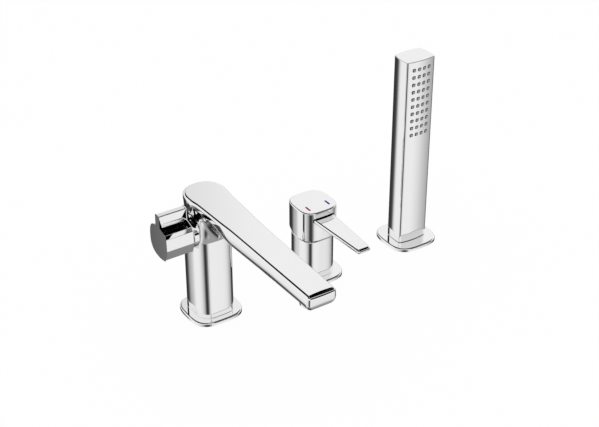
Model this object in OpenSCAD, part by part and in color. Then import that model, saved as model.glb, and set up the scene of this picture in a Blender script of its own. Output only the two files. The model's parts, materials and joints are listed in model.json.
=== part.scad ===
// Deck-mounted bath mixer set in millimetres.
// Origin: centre of the mixer's deck hole, on the deck's top face.
// +X runs along the row to the hand shower, -Y points to the bath, +Z is up.

/* [Layout] */
// Distance between neighbouring deck holes
hole_pitch = 132; // [110:1:180]
// Side of each square cover plate
plate_w = 60; // [54:0.5:72]
// Thickness of each cover plate
plate_t = 4.2; // [3:0.1:7]
// Thickness of the deck that the set clamps
deck_t = 20; // [8:1:24]

/* [Spout] */
// Height of the spout's flat top above the deck
spout_h = 147; // [140:1:170]
// Distance from the column's axis to the outlet's axis
spout_reach = 195; // [150:1:240]
// Distance from the outlet's axis to the arm's end
tip_overhang = 20; // [16:0.5:24]
// Width of the soft square column
column_w = 43.5; // [42:0.5:50]
// Diameter of the round neck under the spout head
neck_d = 42.6; // [38:0.2:44]
// Width of the spout head
head_w = 45.4; // [44:0.2:52]
// Distance from the column's axis to the back of the head
head_back = 24.8; // [22:0.2:30]
// Depth of the arm
arm_t = 20; // [17:0.25:22]
// Width of the arm's end
tip_w = 32.4; // [28:0.2:36]
// Height of the arm's upright side where it leaves the head
rim_h = 6.5; // [4:0.25:9]
// Height of the hollow curve under the arm, at the column
web_h = 28; // [22:0.5:34]
// Length of the hollow curve along the arm
web_l = 46; // [34:0.5:60]

/* [Diverter] */
// Height of the knob's axis above the deck
knob_z = 107; // [103:0.5:110]
// Width of the knob's hub, front to back
hub_w = 33.6; // [30:0.2:40]
// Height of the knob's hub
hub_h = 36; // [32:0.2:44]
// Length of the knob
knob_l = 32; // [28:0.5:42]
// Reach of the thumb fin above the knob's axis
fin_r = 31.5; // [26:0.5:38]
// Thickness of the thumb fin
fin_t = 7; // [5:0.2:10]
// Diameter of the round collar between knob and column
collar_d = 35; // [30:0.5:36]
// Length of the collar that shows outside the column
collar_l = 3.4; // [2:0.2:6]
// Diameter of the diverter's chamber in the column
chamber_d = 22; // [20.5:0.5:24]
// Diameter of the diverter's spindle
spindle_d = 10; // [8:0.2:11]
// Side of the square end of the spindle
spindle_sq = 7.4; // [5.5:0.1:7.6]

/* [Aerator] */
// Diameter of the aerator's thread in the arm
aerator_d = 22; // [20:0.5:23]
// Height that the aerator ring shows below the arm
aerator_drop = 2.2; // [1:0.1:4]

/* [Mixer] */
// Width of the soft square mixer body
body_w = 40.2; // [39:0.2:46]
// Height of the mixer body's top above the deck
body_h = 53; // [51:0.5:60]
// Width of the soft square lever cap
cap_w = 46.4; // [45:0.2:52]
// Height of the cap from its front edge to its top
cap_l = 38.4; // [35:0.2:46]
// Slope of the cap's lower edge towards the back, in degrees
cap_relief = 18; // [17:0.5:24]
// Largest lift of the lever, in degrees
lift_angle = 20; // [12:1:21]
// Distance from the cap's axis to the lever's end
lever_l = 99; // [80:1:125]
// Width of the lever where it leaves the cap
lever_root_w = 26; // [20:0.5:30]
// Width of the lever's end
lever_tip_w = 17; // [12:0.5:22]
// Thickness of the lever blade
lever_t = 4.2; // [3.4:0.1:5]
// Depth of the lever's top below the cap's top
lever_drop = 8; // [6:0.2:9]

/* [Cartridge] */
// Diameter of the cartridge housing
housing_d = 25.6; // [25:0.1:26.6]
// Diameter of the cartridge nut's thread
nut_d = 28; // [27.6:0.1:29]
// Diameter of the carrier's neck
carrier_d = 18; // [17.4:0.1:18.6]
// Side of the lever stem's square
stem_sq = 8; // [7:0.1:8.2]
// Diameter of the pivot pin
pivot_d = 3; // [2:0.1:3.6]
// Depth of the lift pivot below the body's top
pivot_drop = 3; // [2.6:0.1:3.6]
// Outer radius of the domed ring round the pivot
dome_r = 18.5; // [17.8:0.1:19]

/* [Hand shower] */
// Width of the stick handset
hand_w = 40.4; // [39:0.2:44]
// Depth of the stick handset, front to back
hand_d = 29.6; // [28:0.2:33]
// Height of the handset's top above the deck
hand_h = 234; // [225:1:260]
// Wall of the handset's shell
hand_wall = 2.2; // [1.8:0.1:3]
// Columns of spray nozzles
nozzle_cols = 4; // [2:1:4]
// Rows of spray nozzles
nozzle_rows = 10; // [4:1:10]
// Sideways distance between nozzles
nozzle_dx = 6.7; // [5.5:0.1:7.2]
// Upright distance between nozzles
nozzle_dz = 8.85; // [6:0.05:9]
// Depth of the top nozzle row below the handset's top
nozzle_top = 10; // [8:0.5:14]
// Outer diameter of a nozzle
nozzle_d = 3.4; // [2.6:0.1:4]
// Diameter of the hose connector's thread
hose_thread_d = 20.9; // [20:0.1:21.4]
// Length of the hose connector's thread
hose_thread_l = 14; // [10:0.5:18]
// Diameter of the hole in the guide's cover plate
guide_hole_d = 25; // [24:0.1:25.4]

/* [Deck fixing] */
// Outer diameter of each threaded shank
shank_d = 33; // [32.6:0.1:33.6]
// Inner diameter of each threaded shank
shank_bore = 29; // [28.4:0.1:29.4]
// Length of each shank below the deck's top
shank_l = 55; // [46:1:80]
// Diameter of the clamp washer and clamp gasket
clamp_d = 48; // [44:0.5:56]
// Distance across the flats of the lock nut
nut_af = 41; // [39:0.5:46]
// Height of the lock nut
nut_h = 8; // [6:0.5:10]
// Diameter of the threaded ports for the connecting hoses
port_d = 10; // [9:0.1:10.4]

/* [Clearances] */
// Gap between solids that move past each other
run_gap = 0.3; // [0.25:0.01:0.4]
// Radial clearance of a running shaft
shaft_gap = 0.05; // [0.03:0.01:0.09]
// Clearance of pieces that seat in each other
seat_gap = 0.05; // [0.02:0.01:0.1]

/* [Hidden] */

// Number of points on a soft square outline and on bores
outline_pts = 56;
hand_pts = 72;
bore_fn = 48;
// Overshoot of a cut past the face it opens
cut = 1;
// Softness of each soft square: 2 is an ellipse, higher is squarer
plate_soft = 3.2;
column_soft = 4;
cap_soft = 2.95;
head_soft = 2.3;
arm_soft = 2.8;
// Depth of the hollow in plan along each side of the arm
arm_waist = 1.65;
hub_soft = 3.2;
hand_soft = 9;
// Bow of the handset's four sides
hand_bow_x = 0.066;
hand_bow_y = 0.154;
// Small bevel on visible edges
edge = 0.6;

spout_x = -hole_pitch;
shower_x = hole_pitch;
seat_z = plate_t;

// Shank and ports
shank_in = 10;
shank_top = seat_z + shank_in;
port_deep = 9;
port_r = shank_bore / 2 - port_d / 2 - 1.3;
mixer_port_angles = [90, 210, 330];
spout_port_angles = [-45, 45];
duct_d = 6;
groove_d = 52;
groove_w = 3;
groove_h = 1.6;
clamp_gasket_t = 3;
clamp_washer_t = 2;
nut_z = -deck_t - clamp_gasket_t - clamp_washer_t - nut_h;
// The shank's free end is turned down to a plain pilot
free_end_d = shank_d - 1.6;
free_end_z = nut_z - 2;

// Spout body
column_half = column_w / 2;
arm_end = spout_reach + tip_overhang;
arm_bottom = spout_h - arm_t;
web_z = arm_bottom - web_h;
arm_rings = 34;
arm_sides = 20;
tip_edge = 2.4;
neck_rings = 14;
spout_duct = 5;
arm_duct = 9;

// Diverter, measured outwards from the column's axis towards -X
chamber_in = 6;
duct_x = chamber_in + spout_duct / 2 - 0.4;
duct_y = port_r * sin(45);
collar_in = 2.4;
collar_face = column_half + collar_l;
knob_in = collar_face + run_gap + 0.3;
knob_out = knob_in + knob_l;
div_seal_t = 1.5;
div_disc_t = 3;
div_flange_t = 3;
div_hole_d = 4.4;
div_hole_r = chamber_d / 4.6;
div_disc_z = -chamber_in + div_seal_t;
div_moving_z = div_disc_z + div_disc_t + shaft_gap;
div_flange_z = div_moving_z + div_disc_t + shaft_gap;
div_shoulder_z = div_flange_z + div_flange_t + run_gap;
oring_groove_z = div_shoulder_z + 3;
oring_groove_w = 3;
oring_groove_deep = 1.5;
headwork_out = collar_face - 1;
headwork_wall = 2;
window_d = 6;
spindle_grip = 0.42;
spindle_end = knob_in + spindle_grip * knob_l;
knob_screw_d = 4;
knob_screw_x = 8;

// Aerator
aerator_deep = 11;
aerator_wall = 1.6;
aerator_lip = 1.2;
aerator_seal_t = 2;

// Mixer body and cartridge, heights above the deck
cavity_floor = 2.5;
cavity_z = shank_top + port_deep + cavity_floor;
pivot_z = body_h - pivot_drop;
// The cartridge's pieces share the height of the cavity
stack_h = body_h - cavity_z;
seal_t = 0.055 * stack_h;
base_t = 0.11 * stack_h;
disc_t = 0.11 * stack_h;
moving_t = 0.125 * stack_h;
driver_t = 0.16 * stack_h;
carrier_flange = 0.095 * stack_h;
housing_lid = 0.073 * stack_h;
nut_t = 0.238 * stack_h;
base_z = cavity_z + seal_t;
disc_z = base_z + base_t;
moving_z = disc_z + disc_t + shaft_gap;
driver_z = moving_z + moving_t;
carrier_z = driver_z + driver_t + run_gap;
carrier_top = body_h + 3;
housing_top = body_h - nut_t;
housing_wall = 1.6;
moving_d = 16;
// The stem's round foot turns in the driver's slot
foot_d = 4.4;
foot_neck = 3.2;
foot_z = driver_z + foot_d / 2 + 0.2;
// The moving disc travels this far over the whole lift, evenly about the body's axis
disc_travel = (pivot_z - foot_z) * sin(lift_angle);
disc_rest = disc_travel / 2;

// Cap
cap_z = body_h + 0.6;
cap_top = cap_z + cap_l;
cap_half = cap_w / 2;
cap_wall = 2.5;
cap_clear_r = dome_r + 0.7;
relief_y = -8;
lever_z = cap_top - lever_drop - lever_t;
lever_in = 5;
stem_top = lever_z - 2;
blade_screw_y = -cap_half * 0.6;
screw_d = 3.3;
screw_head_d = 7;
screw_head_h = 3;
grub_d = 5;
grub_l = 9;
grub_z = stem_top - 4;
mark_deep = 0.5;
mark_l = 9;
mark_w = 1.5;
mark_x = 12.6;
mark_y = -10;

// Handset
hand_z = seat_z + run_gap;
hand_half_d = hand_d / 2;
hand_top_t = 3;
hand_floor = 4;
hand_in_z = hand_z + hand_floor;
manifold_wall = 1.6;
pad_t = 1.6;
nozzle_proud = 0.7;
nozzle_bore = 1.1;
spray_w = (nozzle_cols - 1) * nozzle_dx + nozzle_d + 4;
spray_h = (nozzle_rows - 1) * nozzle_dz + nozzle_d + 4;
spray_mid = hand_h - nozzle_top - (nozzle_rows - 1) * nozzle_dz / 2;
spray_low = spray_mid - spray_h / 2;
pad_y = 0.5 - flank(spray_w / 2);
waterway_half = spray_w / 2 + 0.5;
waterway_back = flank(waterway_half) - 0.6;
waterway_z = spray_low - 2;
neck_tube_d = 16;
connector_d = hose_thread_d - 1.9;
thread_top = hand_z - 0.5;
thread_end = thread_top - hose_thread_l;
connector_top = hand_in_z + 6;
hose_bore = 10;
hose_seat_d = hose_bore + 4;
hose_seat_z = thread_end + 6;
valve_z = hose_seat_z + 0.5;
valve_l = 8;
valve_bore = 4;
plate_web = 1.6;
guide_top = plate_t - plate_web;
liner_wall = 1.4;
liner_d = shank_bore - 2 * seat_gap;
liner_low = -20;

function side(v) = v < 0 ? -1 : 1;
function bend(v, n) = side(v) * pow(abs(v), 2 / n);
function mix(a, b, t) = a + (b - a) * t;
function smooth(t) = t * t * (3 - 2 * t);

// Points of a soft square with half sides a and b
function soft(a, b, n, count = outline_pts) = [
  for (i = [0:count - 1])
    let (t = 360 * (i + 0.5) / count)
      [a * bend(cos(t), n), b * bend(sin(t), n)]
];

// Outline of the stick handset, whose sides bow outwards
function hand_outline(inset) =
  let (a = hand_w / 2 - inset, b = hand_half_d - inset)
    [
      for (i = [0:hand_pts - 1])
        let (
          t = 360 * i / hand_pts,
          r = pow(pow(abs(cos(t) / a), hand_soft) + pow(abs(sin(t) / b), hand_soft), -1 / hand_soft),
          x = r * cos(t),
          y = r * sin(t)
        )
          [x * (1 - hand_bow_x * pow(y / b, 2)), y * (1 - hand_bow_y * pow(x / a, 2))]
    ];

// Half depth of the room in the handset, at distance x from its middle
function flank(x) =
  let (u = x / (hand_w / 2 - hand_wall))
    (hand_half_d - hand_wall) * (1 - hand_bow_y * u * u);

// Half depth of the handset itself, at distance x from its middle
function brow(x) = hand_half_d * (1 - hand_bow_y * pow(2 * x / hand_w, 2));

// One upright or level ring of a loft
function level(points, z) = [for (p = points) [p[0], p[1], z]];

// Closed solid through rings that have equal counts of points
module loft(rings) {
  n = len(rings[0]);
  m = len(rings);
  sides = [
    for (k = [0:m - 2], i = [0:n - 1])
      let (a = k * n + i, b = k * n + (i + 1) % n)
        each [[a, a + n, b + n], [a, b + n, b]]
  ];
  bottom = [for (i = [0:n - 1]) i];
  top = [for (i = [0:n - 1]) m * n - 1 - i];
  polyhedron([for (r = rings) each r], concat([bottom], sides, [top]));
}

// Soft square prism with a bevelled top edge
module soft_prism(w, d, n, z0, z1, bevel = edge) {
  translate([0, 0, z0])
    linear_extrude(z1 - z0 - bevel)
      polygon(soft(w / 2, d / 2, n));
  loft([
    level(soft(w / 2, d / 2, n), z1 - bevel),
    level(soft(w / 2 - bevel, d / 2 - bevel, n), z1)
  ]);
}

module tube(outer, inner, z0, z1) {
  difference() {
    translate([0, 0, z0])
      cylinder(d = outer, h = z1 - z0, $fn = bore_fn);
    translate([0, 0, z0 - cut])
      cylinder(d = inner, h = z1 - z0 + 2 * cut, $fn = bore_fn);
  }
}

module hole(d, z0, z1) {
  translate([0, 0, z0])
    cylinder(d = d, h = z1 - z0, $fn = bore_fn);
}

// Puts a child's +Z along -X at the knob's axis
module along_knob() {
  translate([spout_x, 0, knob_z])
    rotate([0, -90, 0])
      children();
}

module escutcheon(top_hole = shank_d + 2 * seat_gap, socket_top = plate_t) {
  color("gainsboro")
    difference() {
      soft_prism(plate_w, plate_w, plate_soft, 0, plate_t);
      hole(top_hole, -cut, plate_t + cut);
      hole(shank_d + 2 * seat_gap, -cut, socket_top);
      tube(groove_d, groove_d - 2 * groove_w, -cut, groove_h);
    }
}

module deck_gasket() {
  color("dimgray")
    tube(groove_d - 2 * seat_gap, groove_d - 2 * groove_w + 2 * seat_gap, 0, groove_h - seat_gap);
}

module shank(bore = shank_bore, top = shank_top) {
  color("darkgoldenrod")
    difference() {
      union() {
        hole(shank_d, free_end_z, top);
        hole(free_end_d, -shank_l, free_end_z);
      }
      hole(bore, -shank_l - cut, top + cut);
    }
}

module clamp_gasket() {
  color("dimgray")
    tube(clamp_d, shank_d + 2 * seat_gap, -deck_t - clamp_gasket_t, -deck_t);
}

module clamp_washer() {
  z = -deck_t - clamp_gasket_t;
  color("silver")
    tube(clamp_d, shank_d + 2 * seat_gap, z - clamp_washer_t, z);
}

module lock_nut() {
  color("goldenrod")
    difference() {
      translate([0, 0, nut_z])
        rotate(30)
          cylinder(d = nut_af / cos(30), h = nut_h, $fn = 6);
      hole(shank_d + 2 * seat_gap, nut_z - cut, nut_z + nut_h + cut);
    }
}

// Half width of the arm at distance h in front of the column's axis
function arm_half(h) =
  let (t = h / arm_end)
    mix(head_w / 2, tip_w / 2, t) - arm_waist * sin(180 * pow(t, 0.6));

// Underside of the arm, with the hollow curve down to the column
function arm_under(h) =
  let (s = min(1, max(0, (h - column_half) / web_l)))
    web_z + web_h * sqrt(1 - pow(1 - s, 2));

// Height of the upright side, which grows from the head to the tip
function arm_side(h) = mix(rim_h, arm_t * 0.45, min(1, h / (column_half + web_l)));

function arm_ring(h, inset = 0) =
  let (
    w = arm_half(h) - inset,
    top = spout_h - inset * 0.8,
    z = spout_h - arm_side(h),
    deep = z - arm_under(h) - inset * 0.5
  )
    concat(
      [[w, -h, top], [-w, -h, top]],
      [
        for (i = [0:arm_sides])
          let (t = 180 * i / arm_sides)
            [-w * bend(cos(t), arm_soft), -h, z - deep * bend(sin(t), arm_soft)]
      ]
    );

module arm() {
  straight = arm_end - tip_edge;
  loft(concat(
    [for (k = [0:arm_rings]) arm_ring(straight * pow(k / arm_rings, 1.1))],
    [arm_ring(arm_end - tip_edge * 0.3, 0.5), arm_ring(arm_end, 2)]
  ));
}

// Width, depth and softness of the neck at share t of its height
function neck_ring(t) =
  let (
    square = 1 - smooth(min(1, t / 0.42)),
    flare = pow(max(0, (t - 0.45) / 0.55), 2.2),
    a = mix(mix(neck_d / 2, column_half, square), head_w / 2, flare),
    b = mix(mix(neck_d / 2, column_half, square), head_back, flare)
  )
    soft(a, b, mix(mix(2, column_soft, square), head_soft, flare));

module neck() {
  rim_z = spout_h - rim_h;
  loft(concat(
    [for (k = [0:neck_rings]) level(neck_ring(k / neck_rings), mix(web_z, rim_z, k / neck_rings))],
    [
      level(neck_ring(1), spout_h - edge),
      level(soft(head_w / 2 - edge, head_back - edge, head_soft), spout_h)
    ]
  ));
}

module spout_body() {
  port_top = shank_top + port_deep;
  duct_z = spout_h - arm_t / 2;
  color("gainsboro")
    difference() {
      translate([spout_x, 0, 0])
        union() {
          translate([0, 0, seat_z])
            linear_extrude(web_z - seat_z)
              polygon(soft(column_half, column_half, column_soft));
          neck();
          arm();
        }
      translate([spout_x, 0, 0])
        hole(shank_d + 2 * seat_gap, seat_z - cut, shank_top);
      translate([spout_x, 0, 0])
        for (a = spout_port_angles)
          rotate(a)
            translate([port_r, 0, 0])
              hole(port_d, shank_top - cut, port_top);
      for (y = [-1, 1]) {
        translate([spout_x + duct_x, y * duct_y, 0])
          hole(spout_duct, port_top - cut, knob_z + spout_duct / 2);
        along_knob()
          translate([0, y * div_hole_r, 0])
            hole(div_hole_d, -duct_x, cut - chamber_in);
      }
      along_knob() {
        hole(chamber_d, -chamber_in, column_half + cut);
        hole(collar_d + 2 * seat_gap, column_half - collar_in, column_half + cut);
      }
      translate([spout_x, 0, 0])
        hole(arm_duct, knob_z, duct_z);
      translate([spout_x, arm_duct / 2, duct_z])
        rotate([90, 0, 0])
          cylinder(d = arm_duct, h = spout_reach + arm_duct / 2, $fn = bore_fn);
      translate([spout_x, -spout_reach, 0])
        hole(aerator_d + 2 * seat_gap, arm_bottom - 2 * cut, arm_bottom + aerator_deep);
    }
}

module aerator_housing() {
  low = arm_bottom - aerator_drop;
  top = arm_bottom + aerator_deep - aerator_seal_t;
  inner = aerator_d - 2 * aerator_wall;
  color("silver")
    translate([spout_x, -spout_reach, 0])
      difference() {
        hole(aerator_d, low, top);
        hole(inner, low + aerator_lip, top + cut);
        hole(inner - 2, low - cut, top);
      }
}

module aerator_insert() {
  low = arm_bottom - aerator_drop + aerator_lip + seat_gap;
  d = aerator_d - 2 * aerator_wall - 2 * seat_gap;
  color("whitesmoke")
    translate([spout_x, -spout_reach, 0])
      difference() {
        hole(d, low, arm_bottom + aerator_deep - aerator_seal_t);
        for (ring = [1:3], i = [0:6 * ring - 1])
          rotate(60 * i / ring)
            translate([ring * d / 8, 0, 0])
              cylinder(d = d / 14, h = spout_h, $fn = 16);
      }
}

module aerator_seal() {
  top = arm_bottom + aerator_deep;
  color("dimgray")
    translate([spout_x, -spout_reach, 0])
      tube(aerator_d - 1, aerator_d - 6, top - aerator_seal_t + seat_gap, top - seat_gap);
}

module diverter_collar() {
  color("gainsboro")
    along_knob()
      tube(collar_d, chamber_d + 2 * seat_gap, column_half - collar_in + seat_gap, collar_face);
}

module diverter_seal() {
  color("dimgray")
    along_knob()
      difference() {
        hole(chamber_d - 1, seat_gap - chamber_in, div_disc_z);
        disc_holes(-chamber_in, [-1, 1]);
      }
}

// Holes through one of the diverter's discs
module disc_holes(z, sides) {
  for (y = sides)
    translate([0, y * div_hole_r, 0])
      hole(div_hole_d, z - cut, z + div_disc_t + cut);
}

module diverter_fixed_disc() {
  color("white")
    along_knob()
      difference() {
        hole(chamber_d - 2 * headwork_wall, div_disc_z + seat_gap, div_disc_z + div_disc_t);
        disc_holes(div_disc_z, [-1, 1]);
      }
}

module diverter_moving_disc() {
  color("white")
    along_knob()
      difference() {
        hole(chamber_d - 2 * headwork_wall - 1, div_moving_z, div_moving_z + div_disc_t);
        disc_holes(div_moving_z, [1]);
      }
}

module diverter_headwork() {
  socket_d = chamber_d - 2 * headwork_wall + 2 * seat_gap;
  color("goldenrod")
    along_knob()
      difference() {
        hole(chamber_d - 2 * seat_gap, div_disc_z + seat_gap, headwork_out);
        hole(socket_d, div_disc_z - cut, div_shoulder_z);
        hole(spindle_d + 2 * shaft_gap, div_disc_z, headwork_out + cut);
        hole(spindle_d + 2 * oring_groove_deep, oring_groove_z, oring_groove_z + oring_groove_w);
        translate([0, 0, div_moving_z + div_disc_t])
          rotate([0, 90, 0])
            cylinder(d = window_d, h = chamber_d, $fn = bore_fn);
      }
}

module spindle_oring() {
  inner = spindle_d / 2 + 0.06;
  outer = spindle_d / 2 + oring_groove_deep - seat_gap;
  color("dimgray")
    along_knob()
      translate([0, 0, oring_groove_z + oring_groove_w / 2])
        rotate_extrude($fn = bore_fn)
          translate([(inner + outer) / 2, 0])
            circle(d = outer - inner, $fn = 20);
}

module diverter_spindle() {
  color("goldenrod")
    along_knob() {
      hole(chamber_d - 2 * headwork_wall - 2, div_flange_z, div_flange_z + div_flange_t);
      hole(spindle_d, div_flange_z, headwork_out);
      intersection() {
        hole(spindle_d, headwork_out - cut, spindle_end);
        translate([-spindle_sq / 2, -spindle_sq / 2, headwork_out - cut])
          cube([spindle_sq, spindle_sq, spindle_end - headwork_out + cut]);
      }
    }
}

module diverter_knob() {
  fin_low = hub_h / 4;
  sq = spindle_sq + 2 * seat_gap;
  color("gainsboro")
    along_knob()
      difference() {
        union() {
          translate([0, 0, knob_in])
            linear_extrude(knob_l)
              polygon(soft(hub_h / 2, hub_w / 2, hub_soft));
          translate([fin_low, -fin_t / 2, knob_in])
            cube([fin_r - fin_low - fin_t / 4, fin_t, knob_l]);
          translate([fin_low, -fin_t / 4, knob_in])
            cube([fin_r - fin_low, fin_t / 2, knob_l]);
          for (y = [-1, 1])
            translate([fin_r - fin_t / 4, y * fin_t / 4, knob_in])
              cylinder(d = fin_t / 2, h = knob_l, $fn = 24);
        }
        translate([-sq / 2, -sq / 2, knob_in - cut])
          cube([sq, sq, spindle_end - knob_in + 1 + cut]);
        translate([-hub_h / 2 - cut, 0, knob_in + knob_screw_x])
          rotate([0, 90, 0])
            cylinder(d = knob_screw_d, h = hub_h / 2 + cut, $fn = bore_fn);
      }
}

module knob_screw() {
  long = hub_h / 2 - 1 - spindle_sq / 2 - seat_gap;
  color("dimgray")
    along_knob()
      translate([1 - hub_h / 2, 0, knob_in + knob_screw_x])
        rotate([0, 90, 0])
          difference() {
            cylinder(d = knob_screw_d - 2 * seat_gap, h = long, $fn = bore_fn);
            translate([0, 0, -cut])
              cylinder(d = knob_screw_d * 0.58, h = 2.5 + cut, $fn = 6);
          }
}

module mixer_body() {
  port_top = shank_top + port_deep;
  color("gainsboro")
    difference() {
      soft_prism(body_w, body_w, column_soft, seat_z, body_h, 0.4);
      hole(shank_d + 2 * seat_gap, seat_z - cut, shank_top);
      for (a = mixer_port_angles)
        rotate(a)
          translate([port_r, 0, 0]) {
            hole(port_d, shank_top - cut, port_top);
            hole(duct_d, port_top - cut, cavity_z + cut);
          }
      hole(housing_d + 2 * seat_gap, cavity_z, body_h + cut);
      hole(nut_d + 2 * seat_gap, housing_top, body_h + cut);
    }
}

module three_ducts(d, z0, z1) {
  for (a = mixer_port_angles)
    rotate(a)
      translate([housing_d / 4, 0, 0])
        hole(d, z0, z1);
}

module cartridge_seal() {
  color("dimgray")
    difference() {
      hole(housing_d - 1, cavity_z + seat_gap, base_z);
      three_ducts(duct_d, cavity_z - cut, base_z + cut);
    }
}

module cartridge_base() {
  color("whitesmoke")
    difference() {
      hole(housing_d, base_z + seat_gap, disc_z);
      three_ducts(duct_d - 0.5, base_z - cut, disc_z + cut);
    }
}

module cartridge_fixed_disc() {
  color("white")
    difference() {
      hole(housing_d - 2 * housing_wall - 2 * seat_gap, disc_z + seat_gap, disc_z + disc_t);
      three_ducts(duct_d - 1, disc_z - cut, disc_z + disc_t + cut);
    }
}

module cartridge_moving_disc() {
  color("white")
    translate([0, disc_rest, 0])
      difference() {
        hole(moving_d, moving_z, moving_z + moving_t);
        hole(moving_d / 2, moving_z - cut, moving_z + moving_t / 2);
      }
}

module cartridge_disc_driver() {
  slot = foot_d + 2 * run_gap;
  color("steelblue")
    difference() {
      translate([0, disc_rest, 0])
        hole(moving_d, driver_z + seat_gap, driver_z + driver_t);
      translate([-stem_sq / 2 - run_gap, -slot / 2, driver_z - cut])
        cube([stem_sq + 2 * run_gap, slot, driver_t + 2 * cut]);
    }
}

module cartridge_housing() {
  color("whitesmoke")
    difference() {
      hole(housing_d, disc_z + seat_gap, housing_top);
      hole(housing_d - 2 * housing_wall, disc_z - cut, housing_top - housing_lid);
      hole(carrier_d + 2 * shaft_gap, disc_z, housing_top + cut);
    }
}

module cartridge_carrier() {
  slot_half = sin(lift_angle) * (pivot_z - carrier_z) + stem_sq / 2 + 0.5;
  flange_d = housing_d - 2 * housing_wall - 2 * run_gap;
  color("steelblue")
    difference() {
      union() {
        hole(flange_d, carrier_z, carrier_z + carrier_flange);
        hole(carrier_d, carrier_z, carrier_top);
      }
      translate([-stem_sq / 2 - run_gap, -slot_half, carrier_z - cut])
        cube([stem_sq + 2 * run_gap, 2 * slot_half, carrier_top - carrier_z + 2 * cut]);
      translate([-carrier_d, 0, pivot_z])
        rotate([0, 90, 0])
          cylinder(d = pivot_d + 0.02, h = 2 * carrier_d, $fn = bore_fn);
    }
}

module cartridge_pivot_pin() {
  color("silver")
    translate([0.4 - carrier_d / 2, 0, pivot_z])
      rotate([0, 90, 0])
        cylinder(d = pivot_d, h = carrier_d - 0.8, $fn = bore_fn);
}

module cartridge_stem() {
  half = stem_sq / 2;
  color("silver")
    difference() {
      union() {
        translate([-half, -half, pivot_z - half])
          cube([stem_sq, stem_sq, stem_top - pivot_z + half]);
        translate([-half, -foot_neck / 2, foot_z])
          cube([stem_sq, foot_neck, pivot_z - foot_z]);
        translate([-half, 0, foot_z])
          rotate([0, 90, 0])
            cylinder(d = foot_d, h = stem_sq, $fn = bore_fn);
      }
      translate([-stem_sq, 0, pivot_z])
        rotate([0, 90, 0])
          cylinder(d = pivot_d + 2 * shaft_gap, h = 2 * stem_sq, $fn = bore_fn);
    }
}

module cartridge_nut() {
  color("goldenrod")
    tube(nut_d, carrier_d + 2 * run_gap + 0.6, housing_top + seat_gap, body_h - 0.2);
}

module dome_ring() {
  inner_r = dome_r - 1.5;
  mouth = carrier_d / 2 + 2.6;
  color("gainsboro")
    intersection() {
      translate([0, 0, pivot_z])
        rotate_extrude($fn = 72)
          difference() {
            intersection() {
              circle(r = dome_r, $fn = 72);
              translate([mouth, pivot_drop])
                square([dome_r, dome_r]);
            }
            intersection() {
              circle(r = inner_r, $fn = 72);
              translate([0, pivot_drop + 1.2])
                square([dome_r, dome_r]);
            }
            translate([0, pivot_drop - cut])
              square([nut_d / 2 - 0.6, 1.2 + cut]);
          }
      hole(3 * dome_r, body_h, body_h + 3 * dome_r);
    }
}

// Room under the cap: it rises towards the back, and follows the dome inside
module cap_room() {
  far = 2 * cap_w;
  translate([0, 0, body_h])
    linear_extrude(9)
      polygon(soft(cap_half - cap_wall, cap_half - cap_wall, cap_soft));
  translate([0, 0, pivot_z])
    rotate_extrude($fn = 72)
      intersection() {
        circle(r = cap_clear_r, $fn = 72);
        translate([0, -cap_clear_r])
          square([cap_clear_r, 2 * cap_clear_r]);
      }
  translate([-far / 2, relief_y, cap_z])
    rotate([cap_relief, 0, 0])
      translate([0, 0, -far])
        cube([far, far, far]);
}

module blade_outline(grow = 0) {
  tip_r = 2.5;
  hull() {
    translate([-lever_root_w / 2 - grow, -cap_half + 1])
      square([lever_root_w + 2 * grow, cap_half - 1 - lever_in]);
    for (x = [-1, 1])
      translate([x * (lever_tip_w / 2 - tip_r), -lever_l + tip_r])
        circle(r = tip_r + grow, $fn = 24);
  }
}

module lever_cap() {
  sq = stem_sq + 2 * seat_gap;
  color("gainsboro")
    difference() {
      soft_prism(cap_w, cap_w, cap_soft, cap_z, cap_top, 1);
      cap_room();
      translate([-sq / 2, -sq / 2, pivot_z])
        cube([sq, sq, stem_top + 0.2 - pivot_z]);
      translate([0, 0, lever_z - seat_gap])
        linear_extrude(lever_t + 2 * seat_gap)
          blade_outline(seat_gap);
      translate([0, blade_screw_y, 0]) {
        hole(screw_d + 0.6, pivot_z, lever_z);
        hole(screw_head_d + 0.4, pivot_z, lever_z - screw_head_h);
      }
      translate([0, 0, grub_z])
        rotate([-90, 0, 0])
          cylinder(d = grub_d, h = cap_w, $fn = bore_fn);
      for (x = [-mark_x, mark_x])
        mark_block(x, mark_deep + cut, seat_gap);
    }
}

// Block of one temperature mark, sunk into the cap's top
module mark_block(x, deep, grow) {
  translate([x - mark_w / 2 - grow, mark_y - mark_l / 2 - grow, cap_top - mark_deep - grow])
    cube([mark_w + 2 * grow, mark_l + 2 * grow, deep + grow]);
}

module lever_blade() {
  color("gainsboro")
    difference() {
      translate([0, 0, lever_z])
        linear_extrude(lever_t)
          blade_outline();
      translate([0, blade_screw_y, 0])
        hole(screw_d + 0.1, lever_z - cut, lever_z + lever_t - 1);
    }
}

module blade_screw() {
  head_top = lever_z - screw_head_h - seat_gap;
  head_z = head_top - screw_head_h;
  color("silver")
    translate([0, blade_screw_y, 0])
      difference() {
        union() {
          hole(screw_head_d, head_z, head_top);
          hole(screw_d, head_z, lever_z + lever_t - 1.2);
        }
        translate([0, 0, head_z - cut])
          cylinder(d = screw_d, h = screw_head_h * 0.6 + cut, $fn = 6);
      }
}

module lever_grub_screw() {
  color("dimgray")
    translate([0, stem_sq / 2 + seat_gap, grub_z])
      rotate([-90, 0, 0])
        difference() {
          cylinder(d = grub_d - 2 * seat_gap, h = grub_l, $fn = bore_fn);
          translate([0, 0, grub_l - 3])
            cylinder(d = grub_d * 0.58, h = 3 + cut, $fn = 6);
        }
}

module hot_mark() {
  color("crimson")
    mark_block(-mark_x, mark_deep, 0);
}

module cold_mark() {
  color("royalblue")
    mark_block(mark_x, mark_deep, 0);
}

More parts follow.
